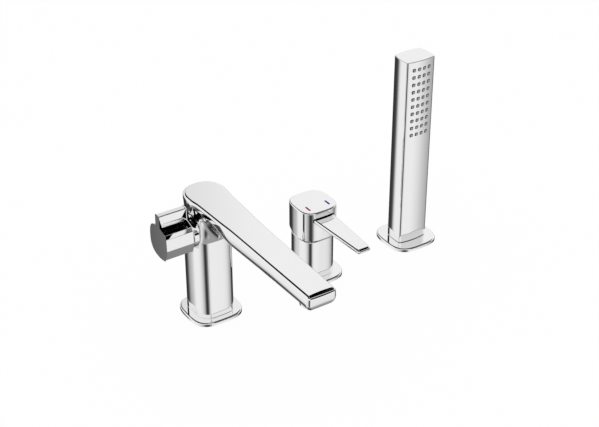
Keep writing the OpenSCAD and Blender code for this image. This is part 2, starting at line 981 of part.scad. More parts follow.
module holder_guide() {
  translate([shower_x, 0, 0])
    shank(shank_bore, guide_top);
}

module holder_liner() {
  color("whitesmoke")
    translate([shower_x, 0, 0])
      tube(liner_d, liner_d - 2 * liner_wall, liner_low, guide_top - seat_gap);
}

function nozzle_x(i) = (i - (nozzle_cols - 1) / 2) * nozzle_dx;
function nozzle_z(j) = hand_h - nozzle_top - j * nozzle_dz;

// A pin or hole at each nozzle, from its distance before the handset's face to the depth back
module nozzles(d, proud, back, count) {
  for (i = [0:nozzle_cols - 1], j = [0:nozzle_rows - 1])
    let (y = -brow(nozzle_x(i)) - proud)
      translate([nozzle_x(i), y, nozzle_z(j)])
        rotate([-90, 0, 0])
          cylinder(d = d, h = back - y, $fn = count);
}

module handset_shell() {
  color("gainsboro")
    translate([shower_x, 0, 0])
      difference() {
        union() {
          translate([0, 0, hand_z])
            linear_extrude(hand_h - hand_z - 1)
              polygon(hand_outline(0));
          loft([level(hand_outline(0), hand_h - 1), level(hand_outline(1), hand_h)]);
        }
        translate([0, 0, hand_in_z])
          linear_extrude(hand_h - hand_in_z - hand_top_t)
            polygon(hand_outline(hand_wall));
        hole(connector_d + 2 * seat_gap, hand_z - cut, hand_in_z + cut);
        nozzles(nozzle_d + 2 * seat_gap, cut, pad_y, 20);
      }
}

module nozzle_pad() {
  color("dimgray")
    translate([shower_x, 0, 0])
      difference() {
        union() {
          translate([-spray_w / 2, pad_y, spray_low])
            cube([spray_w, pad_t, spray_h]);
          nozzles(nozzle_d, nozzle_proud, pad_y + pad_t / 2, 20);
        }
        nozzles(nozzle_bore, nozzle_proud + cut, pad_y + pad_t + cut, 16);
      }
}

module handset_waterway() {
  face = pad_y + pad_t + seat_gap;
  deep = waterway_back - face;
  high = spray_h + 3;
  wall = manifold_wall;
  color("whitesmoke")
    translate([shower_x, 0, 0])
      difference() {
        union() {
          translate([-waterway_half, face, waterway_z])
            cube([2 * waterway_half, deep, high]);
          hole(neck_tube_d, connector_top, waterway_z + wall);
        }
        translate([wall - waterway_half, face - cut, waterway_z + wall])
          cube([2 * (waterway_half - wall), deep - wall + cut, high - 2 * wall]);
        hole(neck_tube_d - 2 * wall, connector_top - cut, waterway_z + wall + cut);
      }
}

module hose_connector() {
  color("goldenrod")
    translate([shower_x, 0, 0])
      difference() {
        union() {
          hole(hose_thread_d, thread_end, thread_top);
          hole(connector_d, thread_end, connector_top - seat_gap);
        }
        hole(hose_bore, thread_end - cut, connector_top + cut);
        hole(hose_seat_d, thread_end - cut, hose_seat_z);
      }
}

module connector_seal() {
  color("dimgray")
    translate([shower_x, 0, 0])
      tube(hose_seat_d - 2 * seat_gap, hose_bore - 1, hose_seat_z - 2, hose_seat_z - seat_gap);
}

module check_valve() {
  color("steelblue")
    translate([shower_x, 0, 0])
      tube(hose_bore - 2 * seat_gap, valve_bore, valve_z, valve_z + valve_l);
}

translate([spout_x, 0, 0]) escutcheon();  // spout_escutcheon
translate([spout_x, 0, 0]) deck_gasket();  // spout_gasket
spout_body();
translate([spout_x, 0, 0]) shank();  // spout_shank
translate([spout_x, 0, 0]) clamp_gasket();  // spout_clamp_gasket
translate([spout_x, 0, 0]) clamp_washer();  // spout_clamp_washer
translate([spout_x, 0, 0]) lock_nut();  // spout_lock_nut
aerator_housing();
aerator_insert();
aerator_seal();
diverter_collar();
diverter_headwork();
diverter_seal();
diverter_fixed_disc();
diverter_moving_disc();
diverter_spindle();
spindle_oring();
diverter_knob();
knob_screw();
escutcheon();  // mixer_escutcheon
deck_gasket();  // mixer_gasket
mixer_body();
shank();  // mixer_shank
clamp_gasket();  // mixer_clamp_gasket
clamp_washer();  // mixer_clamp_washer
lock_nut();  // mixer_lock_nut
cartridge_seal();
cartridge_base();
cartridge_fixed_disc();
cartridge_moving_disc();
cartridge_disc_driver();
cartridge_housing();
cartridge_carrier();
cartridge_pivot_pin();
cartridge_stem();
cartridge_nut();
dome_ring();
lever_cap();
lever_blade();
blade_screw();
lever_grub_screw();
hot_mark();
cold_mark();
translate([shower_x, 0, 0]) escutcheon(guide_hole_d, guide_top);  // shower_escutcheon
translate([shower_x, 0, 0]) deck_gasket();  // shower_gasket
holder_guide();
holder_liner();
translate([shower_x, 0, 0]) clamp_gasket();  // shower_clamp_gasket
translate([shower_x, 0, 0]) clamp_washer();  // shower_clamp_washer
translate([shower_x, 0, 0]) lock_nut();  // shower_lock_nut
handset_shell();
nozzle_pad();
handset_waterway();
hose_connector();
connector_seal();
check_valve();
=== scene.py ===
import json
from math import acos, asin, atan2, cos, pi, radians, sin, tau

import bmesh
import bpy
import numpy as np
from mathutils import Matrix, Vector

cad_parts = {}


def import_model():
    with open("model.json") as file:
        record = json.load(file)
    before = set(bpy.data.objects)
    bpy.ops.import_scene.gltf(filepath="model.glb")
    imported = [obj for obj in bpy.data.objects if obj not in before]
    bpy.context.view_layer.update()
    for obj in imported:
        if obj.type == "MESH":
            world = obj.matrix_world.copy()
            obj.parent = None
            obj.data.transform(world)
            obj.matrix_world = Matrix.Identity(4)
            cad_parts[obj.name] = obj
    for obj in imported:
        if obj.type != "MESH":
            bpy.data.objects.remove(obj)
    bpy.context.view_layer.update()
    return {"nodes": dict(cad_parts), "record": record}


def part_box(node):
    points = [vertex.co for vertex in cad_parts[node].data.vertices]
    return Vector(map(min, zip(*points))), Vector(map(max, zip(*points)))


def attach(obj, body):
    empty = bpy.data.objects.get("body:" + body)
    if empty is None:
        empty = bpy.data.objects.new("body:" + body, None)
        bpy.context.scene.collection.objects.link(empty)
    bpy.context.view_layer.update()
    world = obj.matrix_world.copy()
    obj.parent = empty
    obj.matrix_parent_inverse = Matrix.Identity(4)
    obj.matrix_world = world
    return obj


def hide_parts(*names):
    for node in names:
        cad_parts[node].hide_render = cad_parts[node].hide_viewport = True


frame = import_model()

# The visible pieces of a bath mixer set, their finishes, the camera and the studio.
# Lengths are in millimetres until piece() makes a mesh of them, in metres and in the solids' frame:
# the origin is the centre of the mixer's deck hole, +X runs to the hand shower, -Y to the bath, +Z up.

MM = 0.001
SCENE = bpy.context.scene

# Stations and cover plates
PITCH = 132.0
PLATE = dict(half=30.0, soft=3.2, high=4.2, top_edge=1.6, top_flat=1.9, foot_edge=0.2)
SHANK_HOLE_R = 16.55
GASKET = dict(inner=23.05, outer=25.95, deep=1.6)
GUIDE_HOLE_R = 12.5
GUIDE_HOLE_Z = 2.6

# Spout. Its head and arm are drawn by h, the distance in front of the column's axis
COLUMN = dict(half=21.75, soft=4.0, lean=0.03, rows=(70.0, 40.0, 4.6), foot=4.25, foot_share=0.99)
NECK = dict(up=20.0, narrower=0.4, softer=1.2)
CROWN = 0.028
SPOUT_TOP = 147.0
HEAD = dict(half=22.7, back=24.8, soft=2.3)
ARM_END = 215.0
ARM_WAIST = dict(deep=1.65, skew=0.6)
BLEND = dict(power=34, fade=6.0)
TIP = dict(half=16.2, corner=3.4, run=4.2)
TOP_EDGE = dict(side=2.9, tip=0.6, tip_middle=0.8)
# Depth of the upright side below the top, by h
SIDE_DEPTHS = {0: 6.0, 40: 6.2, 52: 7.0, 60: 8.0, 68: 9.5, 78: 11.0, 112: 9.7, 147: 8.2, 215: 8.0}
SIDE_LEAN = dict(least=radians(2), more=radians(9), start=45.0, run=30.0)
HOLLOW = dict(foot=99.0, high=26.0, long=46.0, rise=3.0, rise_run=125.0)
# The flare's foot leaves the column at TURN_H, the arm is plain from PLAIN_H on
# and its middle line ends at POLE_H
TURN_H = 40.0
PLAIN_H = 84.0
POLE_H = ARM_END - 12.0
# Handles of the curves from rim to foot, as lengths and as shares of the way in and down. Pairs are the
# start and the run, in h, over which a handle changes
FLARE = dict(lean=radians(16), foot=(-2.0, 24.0), front=(8.0, 16.0), wide=12.0, rim_in=0.6,
             rim_in_front=0.35, rim_down=3.0, rim_down_wide=7.0, foot_up=0.55, foot_up_wide=0.2)
UNDER = dict(start=34.0, rim_down=0.72, foot_up=0.35, foot_up_run=16.0, foot_out=0.72, foot_out_run=26.0)
AERATOR = dict(h=195.0, r=11.1, low=90.0, top=138.0)

# Diverter
KNOB = dict(z=107.0, start=25.75, long=32.0, edge=0.7, reach_behind=2.6)
COLLAR = dict(bore=11.1, r=17.5, face=16.3, start=19.4, end=25.15, edge=0.7)
KEY = dict(half=3.75, soft=30, deep=14.5)

# Mixer
BODY = dict(half=20.1, soft=4, gap=0.02, top=53.0, foot_edge=0.2, top_edge=0.9, bore=14.05, bore_floor=46.0)
PIVOT_Z = 50.0
DOME = dict(outer=18.5, inner=17.0, mouth=11.6, low=3.0, rim=4.2, seat=13.4)
CAP = dict(half=23.2, soft=3.2, lean=0.02, low=53.6, top=92.0, edge=1.4, bevel=(1.9, 2.9), wall=2.5,
           ball=19.2)
CAP_RELIEF = dict(angle=radians(18), start=-8.0)
# root and tip are half widths. The blade narrows from leave on, where it comes out of the cap
LEVER = dict(z=79.8, thick=4.2, root=13.0, tip=8.5, leave=22.2, end=99.0, corner=3.2)
LEVER_EDGE = dict(low=1.9, high=2.1, tip_change=0.9, tip_start=94.0, tip_run=4.0)
SLOT = dict(half=13.7, high=3.1, soft=4.5, up=2.65)
MARK = dict(x=12.6, y=-10.0, half=1.17, long=4.56, soft=8, deep=0.5)
POCKET = dict(half=1.2, long=4.6)

# Hand shower. a and b are half its width and depth, before the sides bow and lean
HAND = dict(a=20.2, b=14.8, soft=20.0, bow_x=0.066, bow_y=0.154, lean=0.036, low=4.5, top=234.0,
            foot_edge=0.5, top_edge=0.55)
NOZZLES = dict(columns=4, rows=10, dx=6.7, dz=8.85, below_top=10.0, hole=2.15, hole_soft=3.6, count=24)


# Outlines

def soft(a, b, n, count=288):
    """Soft square with half sides a and b, as a closed ring of points. A larger n is squarer."""
    t = np.arange(count) * tau / count
    r = (np.abs(np.cos(t) / a) ** n + np.abs(np.sin(t) / b) ** n) ** (-1 / n)
    return np.stack([r * np.cos(t), r * np.sin(t)], 1)


def pillow(a, b, n, bow_x=0.0, bow_y=0.0, lean=0.0, count=320):
    """Soft square whose sides also bow outwards and, with lean, draw in towards the back."""
    p = soft(a, b, n, count)
    return np.stack([p[:, 0] * (1 - bow_x * (p[:, 1] / b) ** 2 - lean * (1 + p[:, 1] / b)),
                     p[:, 1] * (1 - bow_y * (p[:, 0] / a) ** 2)], 1)


def inset(ring, d):
    """Moves an anticlockwise ring inwards by d, which may differ from point to point.

    A clockwise ring moves outwards.
    """
    t = np.roll(ring, -1, 0) - np.roll(ring, 1, 0)
    t /= np.maximum(np.linalg.norm(t, axis=1, keepdims=True), 1e-9)
    n = np.stack([-t[:, 1], t[:, 0]], 1)
    d = np.broadcast_to(np.asarray(d, float), (len(ring),))[:, None]
    return ring + n * d


def bent(points, reach, steps=6):
    """A closed outline through a polygon's sides. The curve at each corner starts at its reach from it."""
    points = np.array(points, float)
    ring = []
    for p, before, after, d in zip(points, np.roll(points, 1, 0), np.roll(points, -1, 0), reach):
        a = p + (before - p) * min(d / np.linalg.norm(before - p), 0.5)
        b = p + (after - p) * min(d / np.linalg.norm(after - p), 0.5)
        # Not quite from end to end, so that no two points meet where a side is all curve
        ring += [(1 - t) ** 2 * a + 2 * t * (1 - t) * p + t * t * b for t in np.linspace(0.001, 0.999, steps)]
    return np.array(ring)


def at(ring, z):
    """The outline as points in space at height z, which may differ from point to point."""
    return np.column_stack([ring, np.broadcast_to(np.asarray(z, float), (len(ring),))])


def circle(r, z, count):
    t = np.arange(count) * tau / count
    return np.stack([r * np.cos(t), r * np.sin(t), np.full(count, z)], 1)


def arc(steps):
    """Shares of a quarter round: how far in, and how far along."""
    return [(1 - cos(pi / 2 * k / steps), sin(pi / 2 * k / steps)) for k in range(steps + 1)]


def eased(h, start, run):
    """Smooth step from 0 at start to 1 a run further on."""
    t = np.clip((h - start) / run, 0, 1)
    return t * t * (3 - 2 * t)


# Meshes

def piece(name, verts, faces, mat, angle=32.0):
    """New object from points in millimetres. Edges sharper than angle, in degrees, stay sharp."""
    mesh = bpy.data.meshes.new(name)
    mesh.from_pydata([tuple(float(c) * MM for c in v) for v in verts], [], faces)
    mesh.validate()
    bm = bmesh.new()
    bm.from_mesh(mesh)
    bmesh.ops.remove_doubles(bm, verts=bm.verts, dist=2e-6)
    bmesh.ops.dissolve_degenerate(bm, dist=1e-7, edges=bm.edges)
    bmesh.ops.recalc_face_normals(bm, faces=bm.faces)
    bm.to_mesh(mesh)
    bm.free()
    obj = bpy.data.objects.new(name, mesh)
    SCENE.collection.objects.link(obj)
    mesh.materials.append(mat)
    smooth(obj, angle)
    return obj


def smooth(obj, angle=32.0):
    mesh = obj.data
    mesh.polygons.foreach_set("use_smooth", [True] * len(mesh.polygons))
    mesh.set_sharp_from_angle(angle=radians(angle))
    mesh.update()


def weigh(obj):
    """Keeps flat faces flat in the shading, beside their rounded edges."""
    mod = obj.modifiers.new("flat faces", "WEIGHTED_NORMAL")
    mod.weight = 100
    mod.keep_sharp = True


def loft(name, rings, mat, around=False, angle=32.0):
    """Skin through rings of equal counts. It is closed by its ends or, with around, by its first ring."""
    n, m = len(rings[0]), len(rings)
    faces = []
    for k in range(m if around else m - 1):
        a, b = k * n, ((k + 1) % m) * n
        faces += [(a + i, a + (i + 1) % n, b + (i + 1) % n, b + i) for i in range(n)]
    if not around:
        faces.append(tuple(reversed(range(n))))
        faces.append(tuple(range((m - 1) * n, m * n)))
    obj = piece(name, np.concatenate(rings), faces, mat, angle)
    weigh(obj)
    return obj


def rounded(name, ring, z0, z1, mat, low=0.3, high=0.8, steps=6, rows=0, bevel=None):
    """Upright prism with rounded edges of radius low and high, which may differ from point to point.

    The ring runs anticlockwise. bevel, as (run, rise), takes the place of the lower edge, and rows are
    added between the edges.
    """
    on_flat = 0.25
    if bevel:
        run, low = bevel
        rings = [at(inset(ring, run + on_flat), z0), at(inset(ring, run), z0), at(ring, z0 + low)]
    else:
        rings = [at(inset(ring, low + on_flat), z0)]
        rings += [at(inset(ring, low * (1 - b)), z0 + low * a) for a, b in arc(3)]
    rings += [at(ring, z0 + low + (z1 - high - z0 - low) * k / (rows + 1)) for k in range(1, rows + 1)]
    rings += [at(inset(ring, high * a), z1 - high * (1 - b)) for a, b in arc(steps)]
    rings.append(at(inset(ring, high + on_flat), z1))
    return loft(name, rings, mat)


def lathe(name, profile, mat, count=96):
    """Turned piece round the z axis from closed pairs (radius, height)."""
    return loft(name, [circle(r, z, count) for r, z in profile], mat, around=True)


def place(obj, offset, sideways=False):
    """Moves a piece's vertices, so that its object stays at the origin. sideways lays its z axis along -X.

    That also turns the faces over. It puts the clockwise knob right and leaves the collar inside out.
    """
    for v in obj.data.vertices:
        c = Vector((-v.co.z, v.co.y, v.co.x)) if sideways else v.co
        v.co = c + Vector(offset) * MM
    if sideways:
        obj.data.flip_normals()
    obj.data.update()
    return obj


def carve(base, tool):
    """Takes the tool's shape out of the base. Tools reach past the surfaces they open, and are used up."""
    for obj in (base, tool):
        obj.modifiers.clear()
    mod = base.modifiers.new("cut", "BOOLEAN")
    mod.operation = "DIFFERENCE"
    mod.solver = "EXACT"
    mod.object = tool
    deps = bpy.context.evaluated_depsgraph_get()
    mesh = bpy.data.meshes.new_from_object(base.evaluated_get(deps))
    base.modifiers.remove(mod)
    old, gone = base.data, tool.data
    base.data = mesh
    bpy.data.objects.remove(tool)
    for mesh in (old, gone):
        bpy.data.meshes.remove(mesh)
    smooth(base)
    weigh(base)


def dress(obj, body, slot, *nodes):
    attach(obj, body)
    if nodes:
        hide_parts(*nodes)


# Finishes

def material(name, base, metal=0.0, rough=0.4, swing=0.02, grain=900.0, bump=0.0, tint=0.02, **more):
    """Procedural finish: fine noise moves the roughness, the colour and, where asked, the relief."""
    mat = bpy.data.materials.new(name)
    mat.use_nodes = True
    nt = mat.node_tree
    bsdf = nt.nodes["Principled BSDF"]
    bsdf.inputs["Metallic"].default_value = metal
    for key, value in more.items():
        bsdf.inputs[key.replace("_", " ")].default_value = value
    coord = nt.nodes.new("ShaderNodeTexCoord")
    noise = nt.nodes.new("ShaderNodeTexNoise")
    noise.inputs["Scale"].default_value = grain
    noise.inputs["Detail"].default_value = 4.0
    nt.links.new(coord.outputs["Object"], noise.inputs["Vector"])
    span = nt.nodes.new("ShaderNodeMapRange")
    span.inputs["To Min"].default_value = max(0.0, rough - swing)
    span.inputs["To Max"].default_value = rough + swing
    nt.links.new(noise.outputs["Fac"], span.inputs["Value"])
    nt.links.new(span.outputs["Result"], bsdf.inputs["Roughness"])
    ramp = nt.nodes.new("ShaderNodeValToRGB")
    darker, lighter = ramp.color_ramp.elements
    darker.position, lighter.position = 0.3, 0.7
    darker.color = (*[c * (1 - tint) for c in base], 1)
    lighter.color = (*[min(1, c * (1 + tint)) for c in base], 1)
    nt.links.new(noise.outputs["Fac"], ramp.inputs["Fac"])
    nt.links.new(ramp.outputs["Color"], bsdf.inputs["Base Color"])
    if bump:
        relief = nt.nodes.new("ShaderNodeBump")
        relief.inputs["Strength"].default_value = bump
        relief.inputs["Distance"].default_value = 0.0001
        nt.links.new(noise.outputs["Fac"], relief.inputs["Height"])
        nt.links.new(relief.outputs["Normal"], bsdf.inputs["Normal"])
    return mat


CHROME = material("chrome", (0.93, 0.93, 0.935), metal=1.0, rough=0.035, swing=0.015, grain=220, tint=0.004)
BRASS = material("brass", (0.78, 0.60, 0.30), metal=1.0, rough=0.28, swing=0.08, grain=1400, bump=0.15)
STEEL = material("steel", (0.64, 0.65, 0.66), metal=1.0, rough=0.32, swing=0.1, grain=1800, bump=0.2)
RUBBER = material("rubber", (0.035, 0.035, 0.036), rough=0.75, swing=0.1, grain=2500, bump=0.3, tint=0.1)
# Silicone painted darker than its own grey, as the shade in the gaps round the nozzle tips
SILICONE_PAINTED_SHADE = material("grey silicone", (0.028, 0.029, 0.03), rough=0.6, swing=0.08, grain=1800, bump=0.1,
                    tint=0.06, Specular_IOR_Level=0.12)
# The same silicone painted paler, as the light on the nozzle tips that stand out of the dark pad
SILICONE_PAINTED_LIGHT = material("silicone with painted light", (0.36, 0.365, 0.37), rough=0.5, swing=0.08, grain=1800, bump=0.1)
WHITE = material("white plastic", (0.80, 0.80, 0.78), rough=0.38, swing=0.06, grain=1500, bump=0.08)
BLUE = material("blue plastic", (0.07, 0.16, 0.34), rough=0.4, swing=0.06, grain=1500, bump=0.08, tint=0.05)
CERAMIC = material("ceramic", (0.86, 0.86, 0.83), rough=0.12, swing=0.04, grain=2600)
RED_MARK = material("red enamel", (0.36, 0.001, 0.016), rough=0.25, swing=0.05, grain=3000, tint=0.05,
                    Specular_IOR_Level=0.1)
BLUE_MARK = material("blue enamel", (0.006, 0.003, 0.24), rough=0.25, swing=0.05, grain=3000, tint=0.05,
                     Specular_IOR_Level=0.1)

SLOTS = {"chrome": CHROME, "brass": BRASS, "steel": STEEL, "rubber": RUBBER, "grey_silicone": SILICONE_PAINTED_SHADE,
         "white_plastic": WHITE, "blue_plastic": BLUE, "ceramic": CERAMIC, "red_enamel": RED_MARK,
         "blue_enamel": BLUE_MARK}
for part in frame["record"]["subparts"]:
    node = frame["nodes"].get(part["node"])
    if node:
        node.data.materials.clear()
        node.data.materials.append(SLOTS[part["material_slot"]])
        smooth(node)


# Camera at the photograph's viewing angle

def aim(obj, target):
    """Turns an object at its own location towards a point."""
    obj.rotation_euler = (Vector(target) - obj.location).to_track_quat("-Z", "Y").to_euler()


cam = bpy.data.objects.new("camera", bpy.data.cameras.new("camera"))
cam.data.lens = 82.276
cam.data.sensor_width = 36
cam.data.clip_start = 0.05
cam.location = (-0.7134, -1.0639, 0.8732)
aim(cam, (-0.0170, 0.0, 0.0825))
SCENE.collection.objects.link(cam)
SCENE.camera = cam
SCENE.view_settings.view_transform = "Standard"


# Cover plates

def plate(station, x):
    """Soft square plate with its hole, and the gasket's groove in its underside."""
    count = 288
    out = soft(PLATE["half"], PLATE["half"], PLATE["soft"], count)
    high, edge = PLATE["high"], PLATE["top_edge"]
    rings = [at(inset(out, PLATE["foot_edge"]), 0), at(out, PLATE["foot_edge"])]
    rings += [at(inset(out, edge * a), high - edge * (1 - b)) for a, b in arc(8)]
    rings.append(at(inset(out, PLATE["top_flat"]), high))
    if station == "shower":
        hole = [(GUIDE_HOLE_R, high), (GUIDE_HOLE_R, GUIDE_HOLE_Z), (SHANK_HOLE_R, GUIDE_HOLE_Z)]
    else:
        hole = [(SHANK_HOLE_R, high)]
    groove = [(GASKET["inner"], 0), (GASKET["inner"], GASKET["deep"]),
              (GASKET["outer"], GASKET["deep"]), (GASKET["outer"], 0)]
    rings += [circle(r, z, count) for r, z in hole + [(SHANK_HOLE_R, 0)] + groove]
    obj = loft(station + "_plate", rings, CHROME, around=True)
    place(obj, (x, 0, 0))
    dress(obj, "deck_set", "chrome", station + "_escutcheon")


plate("spout", -PITCH)
plate("mixer", 0)
plate("shower", PITCH)


# Spout

def arm_half(h):
    """Half width of the tapered, slightly waisted arm."""
    t = np.clip(h / ARM_END, 0, 1)
    waist = ARM_WAIST["deep"] * np.sin(pi * t ** ARM_WAIST["skew"])
    return HEAD["half"] + (TIP["half"] - HEAD["half"]) * t - waist


def head_half(h):
    """Half width of the round head. It is 0 beyond it."""
    s = np.clip(np.abs(h) / HEAD["back"], 0, 1)
    return HEAD["half"] * (1 - s ** HEAD["soft"]) ** (1 / HEAD["soft"])


def width_at(h):
    """Half width of head and arm in plan, run together smoothly, in front of the column's axis."""
    n = BLEND["power"]
    both = (arm_half(h) ** n + np.maximum(head_half(h), 1e-6) ** n) ** (1 / n)
    # The sum swells where both are as wide, which is taken off again
    return both - (2 ** (1 / n) - 1) * HEAD["half"] * np.exp(-h / BLEND["fade"])


def under_at(h):
    """Height of the underside's middle line: hollow at the column, then almost level."""
    s = np.clip((h - COLUMN["half"]) / HOLLOW["long"], 0, 1)
    level = np.clip((h - (COLUMN["half"] + HOLLOW["long"])) / HOLLOW["rise_run"], 0, 1)
    return HOLLOW["foot"] + HOLLOW["high"] * np.sqrt(1 - (1 - s) ** 2) + HOLLOW["rise"] * level


def column_at(angle, up):
    """A point of the column's outline as (x, h), at a height above it where it softens into the neck."""
    ease_in = eased(up, 0, NECK["up"])
    a = COLUMN["half"] - NECK["narrower"] * ease_in
    n = COLUMN["soft"] - NECK["softer"] * ease_in
    c, s = np.cos(angle), np.sin(angle)
    r = a * (np.abs(c) ** n + np.abs(s) ** n) ** (-1 / n)
    return r * c * (1 - CROWN * (r * s / a) ** 2 + COLUMN["lean"] * r * s / a), -r * s


def plan_half():
    """Right half of head and arm in plan as (x, h), from the middle of the back to the middle of the tip."""
    turn = np.linspace(pi / 2, 0, 44)
    n, corner = HEAD["soft"], TIP["corner"]
    r = (np.abs(np.cos(turn) / HEAD["half"]) ** n + np.abs(np.sin(turn) / HEAD["back"]) ** n) ** (-1 / n)
    side = np.concatenate([np.linspace(0, TURN_H, 41)[1:], np.linspace(TURN_H, PLAIN_H, 41)[1:],
                           np.linspace(PLAIN_H, ARM_END - corner, 50)[1:]])
    wide = width_at(side[-1])
    flat = wide - corner
    bend = pi / 2 * np.arange(1, 13) / 12
    across = np.linspace(flat, 0, 12)[1:]
    px = np.concatenate([r * np.cos(turn), width_at(side), wide - corner * (1 - np.cos(bend)), across])
    ph = np.concatenate([-r * np.sin(turn), side, ARM_END - corner * (1 - np.sin(bend)),
                         np.full(len(across), ARM_END)])
    px[0] = px[-1] = 0
    return px, ph, flat


def head_and_arm():
    """Lines round the right half of head and arm, from the flat top over the side to the middle below.

    Behind TURN_H the lines end on the top of the column. Returns them and which points those are.
    """
    px, ph, flat = plan_half()
    count = len(px)

    def insets(d, z):
        """The outline's right half, moved inwards by d at heights z."""
        ring = np.concatenate([np.stack([px, -ph], 1), np.stack([-px, -ph], 1)[-2:0:-1]])
        row = np.column_stack([inset(ring, -np.concatenate([d, d[-2:0:-1]]))[:count], z])
        row[0, 0] = row[-1, 0] = 0
        return row

    # Top edge, wider across the tip than along the sides, and the leaning side
    tip = eased(ph, ARM_END - TIP["run"], TIP["run"])
    middle = 1 - np.clip(px / flat, 0, 1) ** 2
    edge_r = TOP_EDGE["side"] + TOP_EDGE["tip"] * tip + TOP_EDGE["tip_middle"] * tip * middle
    leaning = eased(ph, SIDE_LEAN["start"], SIDE_LEAN["run"])
    lean = SIDE_LEAN["more"] * leaning * (1 - tip) + SIDE_LEAN["least"]
    pz = SPOUT_TOP - np.interp(ph, list(SIDE_DEPTHS), list(SIDE_DEPTHS.values()))
    side_h = SPOUT_TOP - edge_r * (1 - np.sin(lean)) - pz
    out_by = side_h * np.tan(lean) / 2
    lines = [insets(out_by + edge_r * np.cos(lean) + 0.5, np.full(count, SPOUT_TOP))]
    for k in range(11):
        a = (pi / 2 - lean) * k / 10
        inwards = out_by + edge_r * (np.cos(lean) - np.sin(a))
        lines.append(insets(inwards, SPOUT_TOP - edge_r * (1 - np.cos(a))))
    for v in np.arange(1, 9) / 8:
        lines.append(insets(out_by * (1 - v) ** 2, pz + side_h * (1 - v)))

    # Foot of each line: on the neck's outline, or on the middle line under the arm
    on_column = ph <= TURN_H + 1e-9
    spread = -pi / 2 / atan2(-TURN_H, float(width_at(TURN_H))) - 1
    angle = np.arctan2(-ph, px) * (1 + spread * eased(ph, 0, TURN_H))
    angle[on_column & (ph > TURN_H - 1e-6)] = -pi / 2
    shift = (TURN_H - COLUMN["half"]) * (1 - eased(ph, TURN_H, PLAIN_H - TURN_H))
    along = np.minimum(ph - shift, POLE_H)
    rise = np.where(on_column, NECK["up"] * (1 - eased(ph, *FLARE["foot"])), 0)

    def foot(up):
        x, h = column_at(angle, up)
        x[~on_column | (np.abs(x) < 1e-9)] = 0
        x[0] = 0
        return np.stack([x, np.where(on_column, h, along),
                         np.where(on_column, HOLLOW["foot"] + up, under_at(along))])

    # Each line's way down is a curve with one handle at the rim and one at the foot. arm, wide and front
    # are shares from 0 to 1: how far along the arm, how far out, and how far in front the line is
    fx, fh, fz = foot(rise)
    drop, run = pz - fz, np.hypot(px - fx, ph - fh)
    dx, dh = (px - fx) / np.maximum(run, 1e-6), (ph - fh) / np.maximum(run, 1e-6)
    arm = eased(ph, UNDER["start"], PLAIN_H - UNDER["start"])
    wide = eased(run, 0, FLARE["wide"])
    front = eased(ph, *FLARE["front"])
    rim_in = run * (FLARE["rim_in"] - FLARE["rim_in_front"] * front) * (1 - arm)
    rim_down = (FLARE["rim_down"] + FLARE["rim_down_wide"] * wide) * (1 - arm)
    rim_down += UNDER["rim_down"] * drop * arm
    foot_up = np.where(on_column, drop * (FLARE["foot_up"] - FLARE["foot_up_wide"] * wide),
                       drop * UNDER["foot_up"] * (1 - eased(ph, TURN_H, UNDER["foot_up_run"])))
    foot_out = np.where(on_column, 0, run * UNDER["foot_out"] * eased(ph, TURN_H, UNDER["foot_out_run"]))
    lean_out = np.where(on_column, np.tan(FLARE["lean"]) * front, 0) * foot_up
    p0 = np.stack([px, ph, pz])
    p1 = np.stack([px - dx * rim_in, ph - dh * rim_in, pz - rim_down])
    p2 = np.stack([fx + (dx * arm + (1 - arm)) * foot_out + np.cos(angle) * lean_out,
                   fh + dh * arm * foot_out - np.sin(angle) * lean_out, fz + foot_up])
    p3 = np.stack([fx, fh, fz])
    for u in np.arange(1, 33) / 32:
        q = (1 - u) ** 3 * p0 + 3 * (1 - u) ** 2 * u * p1 + 3 * (1 - u) * u * u * p2 + u ** 3 * p3
        q[0, 0] = q[0, -1] = 0
        lines.append(np.stack([q[0], -q[1], q[2]], 1))
    # From the flare's foot down the neck to the top of the column
    for k in range(1, 13):
        x, h, z = foot(rise * (1 - k / 12))
        lines.append(np.stack([x, -h, z], 1))
    return lines, on_column


def spout():
    """The casting, with the aerator's hole in the tip's underside."""
    lines, on_column = head_and_arm()
    verts, faces = [], []

    def grid(block, flip):
        """Adds a net of faces between the lines and returns its first point's number."""
        m, n = len(block), len(block[0])
        base = len(verts)
        for line in block:
            verts.extend(tuple(v) for v in line)
        for k in range(m - 1):
            for i in range(n - 1):
                a, b = base + k * n + i, base + (k + 1) * n + i
                face = (a, a + 1, b + 1, b)
                faces.append(face[::-1] if flip else face)
        return base

    def both_sides(block):
        return grid(block, False), grid([line * [-1, 1, 1] for line in block], True)

    right, left = both_sides(lines)
    for i in range(len(on_column) - 1):
        faces.append((right + i, left + i, left + i + 1, right + i + 1))
    top = lines[-1][on_column]
    column = [top] + [top * [1, 1, 0] + [0, 0, z] for z in COLUMN["rows"]]
    share = COLUMN["foot_share"]
    column.append(top * [share, share, 0] + [0, 0, COLUMN["foot"]])
    right, left = both_sides(column)
    m = len(top)
    last = (len(column) - 1) * m
    foot = [right + last + i for i in range(m)] + [left + last + i for i in reversed(range(m))]
    faces.append(tuple(foot))
    obj = piece("spout_casting", verts, faces, CHROME, 40)
    r, low, high = AERATOR["r"], AERATOR["low"], AERATOR["top"]
    hole = lathe("aerator_cut", [(0.001, low), (r, low), (r, high), (0.001, high)], CHROME)
    place(hole, (0, -AERATOR["h"], 0))
    carve(obj, hole)
    smooth(obj, 40)
    place(obj, (-PITCH, 0, 0))
    dress(obj, "deck_set", "chrome", "spout_body")


spout()


# Diverter

